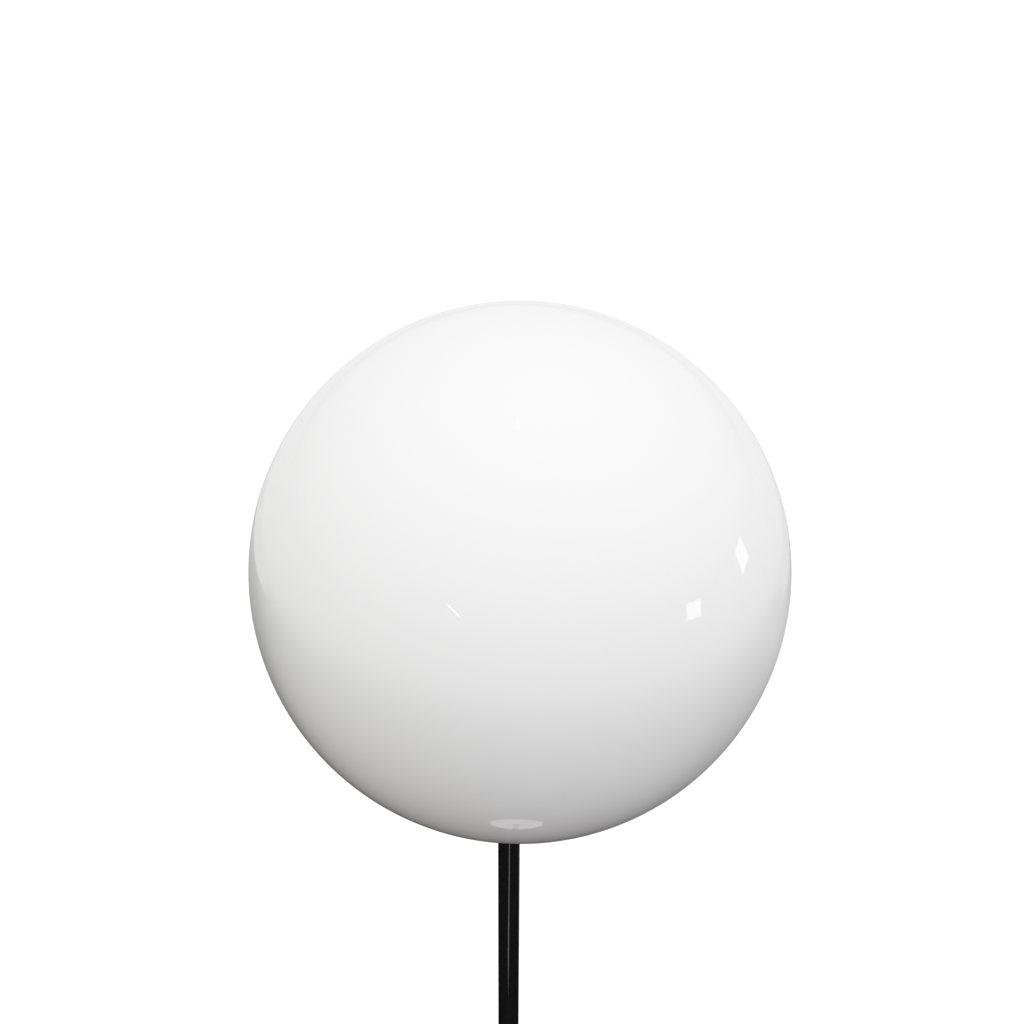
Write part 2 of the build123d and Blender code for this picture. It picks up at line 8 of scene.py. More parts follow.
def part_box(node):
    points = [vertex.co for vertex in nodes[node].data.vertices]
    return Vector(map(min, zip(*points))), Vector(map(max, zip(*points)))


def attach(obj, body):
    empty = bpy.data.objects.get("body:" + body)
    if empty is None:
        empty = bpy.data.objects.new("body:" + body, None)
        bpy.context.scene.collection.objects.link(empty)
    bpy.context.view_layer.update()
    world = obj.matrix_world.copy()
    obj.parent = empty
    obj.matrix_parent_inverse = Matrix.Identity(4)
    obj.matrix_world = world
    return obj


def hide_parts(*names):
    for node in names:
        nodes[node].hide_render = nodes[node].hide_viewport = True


# A globe floor lamp: its finishes, its finer pieces, and a studio to show it in. Lengths are
# in metres, in the frame of the solids: Z is up, the stem stands on the Z axis, and the
# photograph was taken from the -Y side.
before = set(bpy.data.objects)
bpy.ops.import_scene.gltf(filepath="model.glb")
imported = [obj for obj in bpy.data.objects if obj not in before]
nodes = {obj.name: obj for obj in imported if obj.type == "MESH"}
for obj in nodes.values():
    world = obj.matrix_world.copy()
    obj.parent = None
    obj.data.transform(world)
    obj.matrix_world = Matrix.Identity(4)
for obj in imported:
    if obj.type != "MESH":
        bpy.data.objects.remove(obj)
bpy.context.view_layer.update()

# ---------------------------------------------------------------- camera
# A standing eye in front of the lamp, a little above the globe and looking down on it. The
# lens, the tilt, the distance and the globe's pixel are those at which the globe and the
# stem have the photograph's outlines.
globe_low, globe_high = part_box("globe")
globe_radius = (globe_high.y - globe_low.y) / 2
globe_centre = Vector((
    (globe_low.x + globe_high.x) / 2,
    0,
    globe_high.z - globe_radius,
))
frame_side = 1024
focal_pixels = 1400
tilt_down = radians(27.76)
roll = radians(0.21)
globe_pixel = (519.65, 569.95)
globe_distance = 0.9191

camera_data = bpy.data.cameras.new("camera")
camera_data.sensor_width = 36
camera_data.lens = focal_pixels / frame_side * camera_data.sensor_width
camera_data.clip_start = 0.01
camera_data.clip_end = 200
camera = bpy.data.objects.new("camera", camera_data)
bpy.context.scene.collection.objects.link(camera)
bpy.context.scene.camera = camera
camera_turn = Matrix.Rotation(pi / 2 - tilt_down, 3, "X") @ Matrix.Rotation(roll, 3, "Z")
globe_line = camera_turn @ Vector((
    (globe_pixel[0] - frame_side / 2) / focal_pixels,
    (frame_side / 2 - globe_pixel[1]) / focal_pixels,
    -1,
))
camera_place = globe_centre - globe_line.normalized() * globe_distance
camera.matrix_world = Matrix.Translation(camera_place) @ camera_turn.to_4x4()

# ---------------------------------------------------------------- studio
# A plain pale floor under soft light from all round, a little more of it from the front.
# The lens sees the sky white, gloss and glass see it nearly so, and matt surfaces get the
# dome's own light.
def join(tree, source, target):
    """Links two sockets of a node tree, each given as (node, socket name)."""
    tree.links.new(source[0].outputs[source[1]], target[0].inputs[target[1]])


bpy.context.scene.view_settings.view_transform = "Standard"
world = bpy.data.worlds.new("studio")
bpy.context.scene.world = world
world.use_nodes = True
sky = world.node_tree
sky.nodes.clear()
direction = sky.nodes.new("ShaderNodeTexCoord")
towards_light = sky.nodes.new("ShaderNodeVectorMath")
towards_light.operation = "DOT_PRODUCT"
towards_light.inputs[1].default_value = Vector((0.17, -0.86, 0.30)).normalized()
dome_level = sky.nodes.new("ShaderNodeMapRange")
dome_level.inputs["From Min"].default_value = -1
dome_level.inputs["From Max"].default_value = 1
dome_level.inputs["To Min"].default_value = 0.84
dome_level.inputs["To Max"].default_value = 1.49
height = sky.nodes.new("ShaderNodeSeparateXYZ")
white_level = sky.nodes.new("ShaderNodeMapRange")
white_level.inputs["From Min"].default_value = -0.05
white_level.inputs["From Max"].default_value = 0.12
white_level.inputs["To Min"].default_value = 0.74
white_level.inputs["To Max"].default_value = 0.95
full_to_lens = sky.nodes.new("ShaderNodeMath")
full_to_lens.operation = "MAXIMUM"
seen_as = sky.nodes.new("ShaderNodeLightPath")
glossy_or_glass = sky.nodes.new("ShaderNodeMath")
glossy_or_glass.operation = "MAXIMUM"
lens_too = sky.nodes.new("ShaderNodeMath")
lens_too.operation = "MAXIMUM"
dome = sky.nodes.new("ShaderNodeBackground")
white_sky = sky.nodes.new("ShaderNodeBackground")
white_sky.inputs["Color"].default_value = (1, 1, 1, 1)
sky_choice = sky.nodes.new("ShaderNodeMixShader")
sky_output = sky.nodes.new("ShaderNodeOutputWorld")
join(sky, (direction, "Generated"), (towards_light, 0))
join(sky, (towards_light, "Value"), (dome_level, "Value"))
join(sky, (dome_level, "Result"), (dome, "Strength"))
join(sky, (direction, "Generated"), (height, "Vector"))
join(sky, (height, "Z"), (white_level, "Value"))
join(sky, (white_level, "Result"), (full_to_lens, 0))
join(sky, (seen_as, "Is Camera Ray"), (full_to_lens, 1))
join(sky, (full_to_lens, "Value"), (white_sky, "Strength"))
join(sky, (seen_as, "Is Glossy Ray"), (glossy_or_glass, 0))
join(sky, (seen_as, "Is Transmission Ray"), (glossy_or_glass, 1))
join(sky, (seen_as, "Is Camera Ray"), (lens_too, 0))
join(sky, (glossy_or_glass, "Value"), (lens_too, 1))
join(sky, (lens_too, "Value"), (sky_choice, "Fac"))
join(sky, (dome, "Background"), (sky_choice, 1))
join(sky, (white_sky, "Background"), (sky_choice, 2))
join(sky, (sky_choice, "Shader"), (sky_output, "Surface"))

# The floor: white to the lens, with the lamp's shadow on it. Gloss and glass see a dark
# round 2.6 m in radius with the lamp near its middle, paler to the right, and a pale floor
# beyond, which starts sharply at the back and softly elsewhere. Matt surfaces get a dark
# floor near the lamp too, warm at the left and cooler at the right.
floor_half = 60
bpy.ops.object.select_all(action="DESELECT")
bpy.ops.mesh.primitive_plane_add(size=2 * floor_half)
floor = bpy.context.object
floor.name = "studio_floor"
floor_finish = bpy.data.materials.new("studio_floor")
floor_finish.use_nodes = True
floor.data.materials.append(floor_finish)
paint = floor_finish.node_tree
paint.nodes.clear()
spot = paint.nodes.new("ShaderNodeTexCoord")


def graded(value, start, end, low, high, smooth=True):
    """Grades a level while a value, given as (node, socket), runs from start to end."""
    grade = paint.nodes.new("ShaderNodeMapRange")
    grade.interpolation_type = "SMOOTHSTEP" if smooth else "LINEAR"
    grade.inputs["From Min"].default_value = start
    grade.inputs["From Max"].default_value = end
    grade.inputs["To Min"].default_value = low
    grade.inputs["To Max"].default_value = high
    join(paint, value, (grade, "Value"))
    return (grade, "Result")


def measured(operation, other):
    """Measures floor points: the distance to a point, or the length along a direction."""
    measure = paint.nodes.new("ShaderNodeVectorMath")
    measure.operation = operation
    measure.inputs[1].default_value = other
    join(paint, (spot, "Object"), (measure, 0))
    return (measure, "Value")


def combined(operation, first, second):
    """Puts two levels together."""
    both = paint.nodes.new("ShaderNodeMath")
    both.operation = operation
    join(paint, first, (both, 0))
    join(paint, second, (both, 1))
    return (both, "Value")


dark_middle = (-0.4, 0.4, 0)
from_middle = measured("DISTANCE", dark_middle)
sharp_edge = graded(from_middle, 2.62, 2.74, 0, 0.76)
at_the_back = graded(measured("DOT_PRODUCT", (0, 1, 0)), 1.3, 2.1, 0, 1)
soft_edge = graded(from_middle, 1.7, 4.4, 0, 0.9)
along_right = measured("DOT_PRODUCT", (0.40, 0.92, 0))
to_the_right = graded(along_right, 0.8, 2.0, 0, 0.5, smooth=False)
beyond = combined("MAXIMUM", combined("MULTIPLY", sharp_edge, at_the_back), soft_edge)
pale_level = combined("MAXIMUM", beyond, to_the_right)
matt_level = graded(measured("DOT_PRODUCT", (1, 0.2, 0)), -1.6, 1.6, 0, 1, smooth=False)
in_gloss = paint.nodes.new("ShaderNodeEmission")
in_gloss.inputs["Color"].default_value = (1, 1, 1, 1)
join(paint, pale_level, (in_gloss, "Strength"))
to_matt = paint.nodes.new("ShaderNodeBsdfDiffuse")
near_tint = paint.nodes.new("ShaderNodeMix")
near_tint.data_type = "RGBA"
near_tint.inputs["A"].default_value = (0.118, 0.110, 0.062, 1)
near_tint.inputs["B"].default_value = (0.205, 0.178, 0.222, 1)
join(paint, matt_level, (near_tint, "Factor"))
matt_tint = paint.nodes.new("ShaderNodeMix")
matt_tint.data_type = "RGBA"
matt_tint.inputs["B"].default_value = (0.57, 0.565, 0.58, 1)
join(paint, soft_edge, (matt_tint, "Factor"))
join(paint, (near_tint, "Result"), (matt_tint, "A"))
join(paint, (matt_tint, "Result"), (to_matt, "Color"))
to_lens = paint.nodes.new("ShaderNodeBsdfDiffuse")
to_lens.inputs["Color"].default_value = (0.95, 0.95, 0.95, 1)
lift = paint.nodes.new("ShaderNodeEmission")
lift.inputs["Color"].default_value = (1, 1, 1, 1)
lift.inputs["Strength"].default_value = 0.15
white_floor = paint.nodes.new("ShaderNodeAddShader")
seen_by = paint.nodes.new("ShaderNodeLightPath")
gloss_ray = paint.nodes.new("ShaderNodeMath")
gloss_ray.operation = "MAXIMUM"
matt_or_lens = paint.nodes.new("ShaderNodeMixShader")
floor_choice = paint.nodes.new("ShaderNodeMixShader")
floor_output = paint.nodes.new("ShaderNodeOutputMaterial")
join(paint, (to_lens, "BSDF"), (white_floor, 0))
join(paint, (lift, "Emission"), (white_floor, 1))
join(paint, (seen_by, "Is Camera Ray"), (matt_or_lens, "Fac"))
join(paint, (to_matt, "BSDF"), (matt_or_lens, 1))
join(paint, (white_floor, "Shader"), (matt_or_lens, 2))
join(paint, (seen_by, "Is Glossy Ray"), (gloss_ray, 0))
join(paint, (seen_by, "Is Transmission Ray"), (gloss_ray, 1))
join(paint, (gloss_ray, "Value"), (floor_choice, "Fac"))
join(paint, (matt_or_lens, "Shader"), (floor_choice, 1))
join(paint, (in_gloss, "Emission"), (floor_choice, 2))
join(paint, (floor_choice, "Shader"), (floor_output, "Surface"))


# Four small lit panes stand 3 m from the globe and show in the glass: two at the right, a
# slim one at the front left and a small one overhead. The dome still does the lighting.
def pane(name, from_globe, size, turn, level, tint=(1, 1, 1)):
    """Adds a lit rectangle at a place from the globe's centre, its turn given in degrees."""
    light = bpy.data.lights.new(name, "AREA")
    light.shape = "RECTANGLE"
    light.size = size[0]
    light.size_y = size[1]
    light.energy = level * pi * size[0] * size[1]
    light.color = tint
    lamp = bpy.data.objects.new(name, light)
    bpy.context.scene.collection.objects.link(lamp)
    lamp.location = globe_centre + Vector(from_globe)
    lamp.rotation_euler = [radians(angle) for angle in turn]
    lamp.visible_camera = False
    return lamp


pane("right_rear", (2.954, 0.520, -0.051), (0.382, 0.431), (121.8, 79.8, 94.7), 1.8)
pane("right_front", (2.806, -1.056, -0.119), (0.402, 0.303), (98.8, 11.4, 47.0), 2.9,
     tint=(0.95, 0.97, 1.0))
pane("left_slim", (-1.273, -2.644, 0.625), (0.357, 0.0145), (70.0, 31.9, -37.8), 10.5)
pane("overhead", (-0.047, -0.108, 2.998), (0.042, 0.200), (3.1, -1.8, -0.4), 3.0)


# ---------------------------------------------------------------- felt pad
# A disc of pressed black wool felt glued under the ballast, so that the lamp doesn't mark
# the floor. Cut with a knife; its fibres make it matt and a little uneven.
def finish(name, slot, roughness, metallic=0.0, **sockets):
    """Starts a material named for a slot, with what is even set on the shader itself."""
    material = bpy.data.materials.new(f"{slot}_{name}")
    material.use_nodes = True
    shader = material.node_tree.nodes["Principled BSDF"]
    shader.inputs["Roughness"].default_value = roughness
    shader.inputs["Metallic"].default_value = metallic
    for socket, value in sockets.items():
        shader.inputs[socket.replace("_", " ").title()].default_value = value
    return material


def grain(material, scale, dark, light, rough=None, bump=0.0, stretch=(1, 1, 1), detail=4):
    """Adds a cloudy pattern: two shades, and if given a roughness range and a height."""
    spread = (0.35, 0.65)  # the part of the noise over which the shades change
    tree = material.node_tree
    shader = tree.nodes["Principled BSDF"]
    where = tree.nodes.new("ShaderNodeTexCoord")
    drawn_out = tree.nodes.new("ShaderNodeMapping")
    drawn_out.inputs["Scale"].default_value = stretch
    noise = tree.nodes.new("ShaderNodeTexNoise")
    noise.inputs["Scale"].default_value = scale
    noise.inputs["Detail"].default_value = detail
    ramp = tree.nodes.new("ShaderNodeValToRGB")
    ramp.color_ramp.elements[0].position = spread[0]
    ramp.color_ramp.elements[1].position = spread[1]
    ramp.color_ramp.elements[0].color = (*dark, 1)
    ramp.color_ramp.elements[1].color = (*light, 1)
    tree.links.new(where.outputs["Object"], drawn_out.inputs["Vector"])
    tree.links.new(drawn_out.outputs["Vector"], noise.inputs["Vector"])
    tree.links.new(noise.outputs["Fac"], ramp.inputs["Fac"])
    tree.links.new(ramp.outputs["Color"], shader.inputs["Base Color"])
    if rough:
        shine = tree.nodes.new("ShaderNodeMapRange")
        shine.inputs["From Min"].default_value = spread[0]
        shine.inputs["From Max"].default_value = spread[1]
        shine.inputs["To Min"].default_value = rough[0]
        shine.inputs["To Max"].default_value = rough[1]
        tree.links.new(noise.outputs["Fac"], shine.inputs["Value"])
        tree.links.new(shine.outputs["Result"], shader.inputs["Roughness"])
    if bump:
        relief = tree.nodes.new("ShaderNodeBump")
        relief.inputs["Distance"].default_value = bump
        tree.links.new(noise.outputs["Fac"], relief.inputs["Height"])
        tree.links.new(relief.outputs["Normal"], shader.inputs["Normal"])


def dress(material, *names):
    """Puts a finish on CAD nodes."""
    for name in names:
        nodes[name].data.materials.clear()
        nodes[name].data.materials.append(material)


felt = finish("wool", "felt", 0.95, sheen_weight=0.4, sheen_roughness=0.6)
grain(felt, 900, (0.012, 0.012, 0.012), (0.05, 0.05, 0.052), (0.9, 1.0), 0.0004, detail=6)
dress(felt, "felt_pad")

# ---------------------------------------------------------------- ballast
# A round of cast iron that keeps the tall lamp upright. It is left as cast, primed dark,
# with a recess for the nut and a channel to the back for the wiring.
iron = finish("casting", "iron", 0.7, 0.6)
grain(iron, 420, (0.045, 0.045, 0.048), (0.13, 0.13, 0.135), (0.55, 0.85), 0.0005, detail=8)
dress(iron, "ballast")

# ---------------------------------------------------------------- base cover
# A shallow steel pan spun over the ballast, with a rounded shoulder, sprayed gloss white.
# The lacquer dries with a faint orange peel under a clear coat.
cover_lacquer = finish("cover", "white_lacquer", 0.16, coat_weight=0.6, coat_roughness=0.05)
grain(cover_lacquer, 260, (0.872, 0.868, 0.862), (0.884, 0.881, 0.876), (0.14, 0.18),
      0.00001)
dress(cover_lacquer, "base_cover")

# ---------------------------------------------------------------- cord grommet
# A black rubber ring snapped into a hole in the skirt at the back. It keeps the mains lead
# off the steel's edge.
rubber = finish("grommet", "black_rubber", 0.65)
grain(rubber, 1500, (0.014, 0.014, 0.014), (0.03, 0.03, 0.031), (0.55, 0.75), 0.00004)
dress(rubber, "cord_grommet")

# ---------------------------------------------------------------- terminal block
# A moulded two-way block stuck in the ballast's pocket, with brass tubes and steel screws,
# where the mains lead meets the lamp's own lead.
polyamide = finish("block", "polyamide", 0.45)
grain(polyamide, 300, (0.74, 0.73, 0.69), (0.82, 0.81, 0.77), (0.4, 0.52), 0.00002)
dress(polyamide, "terminal_block")
brass = finish("turned", "brass", 0.25, 1.0)
grain(brass, 90, (0.62, 0.45, 0.19), (0.80, 0.62, 0.31), (0.18, 0.34), 0.00001,
      stretch=(1, 12, 1))
dress(brass, "terminal_tubes", "holder_terminals")
zinc = finish("plated", "zinc_steel", 0.32, 1.0)
grain(zinc, 900, (0.63, 0.635, 0.635), (0.67, 0.675, 0.68), (0.29, 0.35), detail=2)
dress(zinc, "terminal_screws", "base_rod", "base_washer", "base_nut", "holder_screws")

# ---------------------------------------------------------------- stem
# Two steel tubes screwed end to end over a short threaded rod, with a turned collar at the
# foot. Stoved gloss black: smooth enough to mirror the room as thin streaks.
black_lacquer = finish("gloss", "black_lacquer", 0.06)
grain(black_lacquer, 240, (0.0085, 0.0085, 0.0088), (0.0110, 0.0110, 0.0113), (0.05, 0.08),
      0.000004)
dress(black_lacquer, "foot_collar", "lower_tube", "upper_tube", "head_collar", "globe_cup")
dress(zinc, "lower_tube_bushes", "upper_tube_bushes", "joiner_rod")

# The slim streak down the stem is the image of a low lit strip in front. The globe shows
# nothing of it, so this light is tied to the tubes.
streak = pane("low_strip", (0.039, -0.792, -0.975), (0.09, 0.34), (138.2, 25.9, 26.0), 2.6)
stem_only = bpy.data.collections.new("stem_only")
for name in ("lower_tube", "upper_tube"):
    stem_only.objects.link(nodes[name])
streak.light_linking.receiver_collection = stem_only

# ---------------------------------------------------------------- cup, gasket and clamps
# A turned steel cup screwed to the stem's flare, black like the stem. The globe's neck
# stands in it on a silicone ring, and three knurled thumb screws with nylon tips hold it.
silicone = finish("ring", "silicone", 0.5, sheen_weight=0.1)
grain(silicone, 500, (0.73, 0.73, 0.71), (0.76, 0.76, 0.74), (0.48, 0.56), 0.00001)
dress(silicone, "globe_gasket")
nylon = finish("tips", "nylon", 0.4)
grain(nylon, 900, (0.78, 0.77, 0.72), (0.87, 0.86, 0.82), (0.35, 0.5), 0.00001)
dress(nylon, "clamp_tip_back", "clamp_tip_left", "clamp_tip_right")
dress(zinc, "head_rod", "cup_washer", "cup_nut", "riser")


def arc(centre, radius, first, last, count):
    """Points of an outline on an arc, from one angle in degrees to another."""
    across, up = centre
    turn = [radians(first + (last - first) * step / count) for step in range(count + 1)]
    return [(across + radius * cos(angle), up + radius * sin(angle)) for angle in turn]


def draw_outline(name, outline):
    """Draws half a section as a chain of edges, from points given as (radius, height).

    A small plane merged to a point is the start, and the other points are drawn out of it.
    """
    bpy.ops.object.select_all(action="DESELECT")
    bpy.ops.mesh.primitive_plane_add(size=0.001, location=(outline[0][0], 0, outline[0][1]))
    piece = bpy.context.object
    piece.name = name
    bpy.ops.object.transform_apply(location=True, rotation=True, scale=True)
    bpy.ops.object.mode_set(mode="EDIT")
    bpy.ops.mesh.select_all(action="SELECT")
    bpy.ops.mesh.merge(type="CENTER")
    for here, there in zip(outline, outline[1:]):
        step = (there[0] - here[0], 0, there[1] - here[1])
        bpy.ops.mesh.extrude_region_move(TRANSFORM_OT_translate={"value": step})
    bpy.ops.mesh.select_all(action="SELECT")
    return piece


def turned(name, outline, steps=96, edge=35):
    """Turns a closed outline about the Z axis into a solid piece."""
    piece = draw_outline(name, outline)
    bpy.ops.mesh.spin(steps=steps, angle=2 * pi, center=(0, 0, 0), axis=(0, 0, 1))
    bpy.ops.mesh.select_all(action="SELECT")
    bpy.ops.mesh.remove_doubles(threshold=0.000001)
    bpy.ops.mesh.normals_make_consistent(inside=False)
    bpy.ops.object.mode_set(mode="OBJECT")
    bpy.ops.object.shade_smooth_by_angle(angle=radians(edge))
    return piece


def fit(piece, material, slot, body, *stands_for):
    """Gives a modelled piece its finish, its body and the CAD nodes that it stands for."""
    piece.data.materials.clear()
    piece.data.materials.append(material)
    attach(piece, body)
    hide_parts(*stands_for)


def grip(piece, low, high, count, depth):
    """Presses a band of upright notches into the outside of a turned piece."""
    notch_share = 0.4  # of the way from one notch to the next
    near_surface = 0.0005
    outside = max(corner.co.x for corner in piece.data.vertices) - near_surface
    bpy.ops.object.mode_set(mode="EDIT")
    bpy.ops.mesh.select_mode(type="FACE")
    bpy.ops.mesh.select_all(action="DESELECT")
    surface = bmesh.from_edit_mesh(piece.data)
    for face in surface.faces:
        middle = face.calc_center_median()
        share = atan2(middle.y, middle.x) / (2 * pi) * count % 1
        if low < middle.z < high and middle.xy.length > outside and share < notch_share:
            face.select_set(True)
    bmesh.update_edit_mesh(piece.data)
    bpy.ops.mesh.extrude_region_shrink_fatten(TRANSFORM_OT_shrink_fatten={"value": -depth})
    bpy.ops.mesh.select_mode(type="VERT")
    bpy.ops.object.mode_set(mode="OBJECT")
    bpy.ops.object.shade_smooth_by_angle(angle=radians(35))


def wound_thread(name, radius, depth, pitch, datum, low, high, steps, parts):
    """Winds one wave of an outline up the Z axis into a thread, cut square at both ends.

    A crest passes the X axis at the datum height. Each turn has so many steps, and the wave
    so many parts. The piece is left open, and in edit mode.
    """
    start = datum - pitch * round((datum - low) / pitch + 1)
    piece = draw_outline(name, [
        (radius - depth * (1 - cos(2 * pi * part / parts)) / 2, start + pitch * part / parts)
        for part in range(parts + 1)
    ])
    bpy.ops.object.mode_set(mode="OBJECT")
    bpy.ops.object.modifier_add(type="SCREW")
    winding = piece.modifiers[-1]
    winding.screw_offset = pitch
    winding.iterations = round((high - start) / pitch + 1)
    winding.steps = steps
    winding.render_steps = steps
    bpy.ops.object.modifier_apply(modifier=winding.name)
    bpy.ops.object.mode_set(mode="EDIT")
    bpy.ops.mesh.select_all(action="SELECT")
    bpy.ops.mesh.remove_doubles(threshold=0.000001)
    bpy.ops.mesh.bisect(
        plane_co=(0, 0, low), plane_no=(0, 0, 1), clear_inner=True, threshold=0.0000005
    )
    bpy.ops.mesh.select_all(action="SELECT")
    bpy.ops.mesh.bisect(
        plane_co=(0, 0, high), plane_no=(0, 0, 1), clear_outer=True, threshold=0.0000005
    )
    bpy.ops.mesh.select_all(action="SELECT")
    bpy.ops.mesh.normals_make_consistent(inside=False)
    piece.update_from_editmode()
    side = piece.data.polygons[0]
    if side.normal.xy.dot(side.center.xy) < 0:
        bpy.ops.mesh.flip_normals()
    return piece


def choose_rim(piece, height):
    """Selects the open edge of a shell at a height."""
    tolerance = 0.000002
    bpy.ops.mesh.select_all(action="DESELECT")
    shell = bmesh.from_edit_mesh(piece.data)
    for edge in shell.edges:
        level = all(abs(corner.co.z - height) < tolerance for corner in edge.verts)
        if edge.is_boundary and level:
            edge.select_set(True)
    bmesh.update_edit_mesh(piece.data)


def made_one(piece, *others):
    """Joins the parts of a piece into one object."""
    bpy.ops.object.select_all(action="DESELECT")
    for part in (piece, *others):
        part.select_set(True)
    bpy.context.view_layer.objects.active = piece
    bpy.ops.object.join()
    return piece


# Each screw is an M4, turned and threaded in one with its straight-knurled head. The tip's
# pin turns in a hole in its end. It is drawn along the Z axis, and its heights are those
# from the stem's axis, as it lies in the cup.
shank_start = 0.04336
head_start = 0.051
head_end = 0.057
head_radius = 0.0045
head_edge = 0.0004
shank_radius = 0.002
shank_thread = 0.0003
shank_pitch = 0.0007
pin_share = 0.64  # the hole's size, as a share of the shank's
pin_depth = 0.00126
knurls = 24
knurl_depth = 0.0003
shank = wound_thread(
    "thumb_screw", shank_radius, shank_thread, shank_pitch,
    datum=shank_start, low=shank_start, high=head_start, steps=24, parts=6,
)
choose_rim(shank, shank_start)
bpy.ops.mesh.extrude_region_move(TRANSFORM_OT_translate={"value": (0, 0, 0)})
bpy.ops.transform.resize(value=(pin_share, pin_share, 1), center_override=(0, 0, shank_start))
choose_rim(shank, shank_start)
bpy.ops.mesh.extrude_region_move(TRANSFORM_OT_translate={"value": (0, 0, pin_depth)})
bpy.ops.mesh.edge_face_add()
choose_rim(shank, head_start)
bpy.ops.mesh.edge_face_add()
bpy.ops.mesh.select_all(action="SELECT")
bpy.ops.mesh.remove_doubles(threshold=0.0000005)
bpy.ops.mesh.normals_make_consistent(inside=False)
bpy.ops.object.mode_set(mode="OBJECT")
bpy.ops.object.shade_smooth_by_angle(angle=radians(40))
knurled_head = turned("knurled_head", [
    (0, head_start),
    (head_radius - head_edge, head_start),
    (head_radius, head_start + head_edge),
    (head_radius, head_end - head_edge),
    (head_radius - head_edge, head_end),
    (head_radius - 3 * head_edge, head_end),
    (head_radius - 4 * head_edge, head_end - head_edge),
    (0, head_end - head_edge),
], steps=72)
grip(knurled_head, head_start + head_edge, head_end - head_edge, knurls, knurl_depth)
thumb_screw = made_one(shank, knurled_head)
tip_low, tip_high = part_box("clamp_tip_back")
clamp_height = (tip_low.z + tip_high.z) / 2
for side, angle in (("back", 90), ("left", 210), ("right", 330)):
    bpy.ops.object.select_all(action="DESELECT")
    thumb_screw.select_set(True)
    bpy.context.view_layer.objects.active = thumb_screw
    bpy.ops.object.duplicate()
    screw = bpy.context.object
    screw.name = f"thumb_screw_{side}"
    screw.location = (0, 0, clamp_height)
    screw.rotation_euler = (0, pi / 2, radians(angle))
    bpy.ops.object.transform_apply(location=True, rotation=True, scale=True)
    fit(screw, black_lacquer, "black_lacquer", f"clamp_screw_{side}", f"clamp_screw_{side}")
bpy.data.objects.remove(thumb_screw)

# ---------------------------------------------------------------- lampholder
# An E27 lampholder moulded in black phenolic: a cap screwed on the rod, a shell screwed on
# the cap, and a glazed ceramic core with a nickel sleeve and a bronze contact between them.
phenolic = finish("holder", "phenolic", 0.2)
grain(phenolic, 600, (0.010, 0.009, 0.009), (0.020, 0.018, 0.017), (0.15, 0.28), 0.000003)

cap_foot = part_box("holder_cap")[0].z
shell_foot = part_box("holder_shell")[0].z
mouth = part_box("holder_shell")[1].z
spigot_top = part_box("holder_cap")[1].z
holder_radius = 0.020
holder_wall = 0.002
bore = holder_radius - holder_wall
eased_edge = 0.0006
notches = 40
notch_depth = 0.0004

rod_hole = 0.00505
rod_boss = 0.009
boss_top = cap_foot + 0.008
shoulder = 0.004
spigot = bore - 0.00005  # an easy fit in the shell
cap_grip = (cap_foot + 0.010, cap_foot + 0.018)
cap_moulding = turned("cap_moulding", [
    (rod_hole, cap_foot),
    *arc((holder_radius - shoulder, cap_foot + shoulder), shoulder, -90, 0, 8),
    (holder_radius, cap_grip[0]),
    (holder_radius, cap_grip[1]),
    *arc((holder_radius - eased_edge, shell_foot - eased_edge), eased_edge, 0, 90, 4),
    (spigot, shell_foot),
    (spigot, spigot_top),
    (bore - holder_wall, spigot_top),
    (bore - holder_wall, cap_foot + holder_wall),
    (rod_boss, cap_foot + holder_wall),
    (rod_boss, boss_top),
    (rod_hole, boss_top),
    (rod_hole, cap_foot),
], steps=120)
grip(cap_moulding, *cap_grip, notches, notch_depth)
fit(cap_moulding, phenolic, "phenolic", "stand", "holder_cap")

lip_bore = 0.0138
lip_height = 0.003
lip_step = 0.0004
lip_rounding = 0.001
lip_middle = (holder_radius - lip_step - lip_rounding, mouth - lip_rounding)
shell_grip = (shell_foot + 0.004, shell_foot + 0.012)
shell_moulding = turned("shell_moulding", [
    (bore, shell_foot),
    *arc((holder_radius - eased_edge, shell_foot + eased_edge), eased_edge, -90, 0, 4),
    (holder_radius, shell_grip[0]),
    (holder_radius, shell_grip[1]),
    (holder_radius, mouth - lip_height),
    (holder_radius - lip_step, mouth - lip_height + lip_step),
    *arc(lip_middle, lip_rounding, 0, 90, 6),
    (lip_bore + lip_step, mouth),
    (lip_bore, mouth - lip_step),
    (lip_bore, mouth - holder_wall),
    (bore, mouth - holder_wall),
    (bore, shell_foot),
], steps=120)
grip(shell_moulding, *shell_grip, notches, notch_depth)
fit(shell_moulding, phenolic, "phenolic", "stand", "holder_shell")
ceramic = finish("core", "ceramic", 0.15, coat_weight=0.5, coat_roughness=0.03)
grain(ceramic, 350, (0.78, 0.76, 0.69), (0.88, 0.87, 0.82), (0.1, 0.25), 0.00003)
dress(ceramic, "holder_core")
nickel = finish("plated", "nickel", 0.18, 1.0)
grain(nickel, 260, (0.64, 0.62, 0.57), (0.76, 0.75, 0.71), (0.12, 0.26), 0.000006)

# The sleeve's thread and the bulb's are in step: both are reckoned from the bulb's tip.
thread_pitch = 0.0036286
tip_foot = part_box("bulb_tip")[0].z


def rolled_thread(name, radius, depth, low, high, sheet):
    """Rolls a thread in thin sheet: the wound surface gets its thickness inwards."""
    piece = wound_thread(
        name, radius, depth, thread_pitch,
        datum=tip_foot, low=low, high=high, steps=64, parts=12,
    )
    bpy.ops.object.mode_set(mode="OBJECT")
    bpy.ops.object.modifier_add(type="SOLIDIFY")
    wall = piece.modifiers[-1]
    wall.thickness = sheet
    wall.offset = -1
    bpy.ops.object.modifier_apply(modifier=wall.name)
    bpy.ops.object.shade_smooth_by_angle(angle=radians(50))
    return piece


def band(name, inner, outer, low, high):
    """Turns a plain ring."""
    return turned(name, [
        (inner, low),
        (outer, low),
        (outer, high),
        (inner, high),
        (inner, low),
    ])


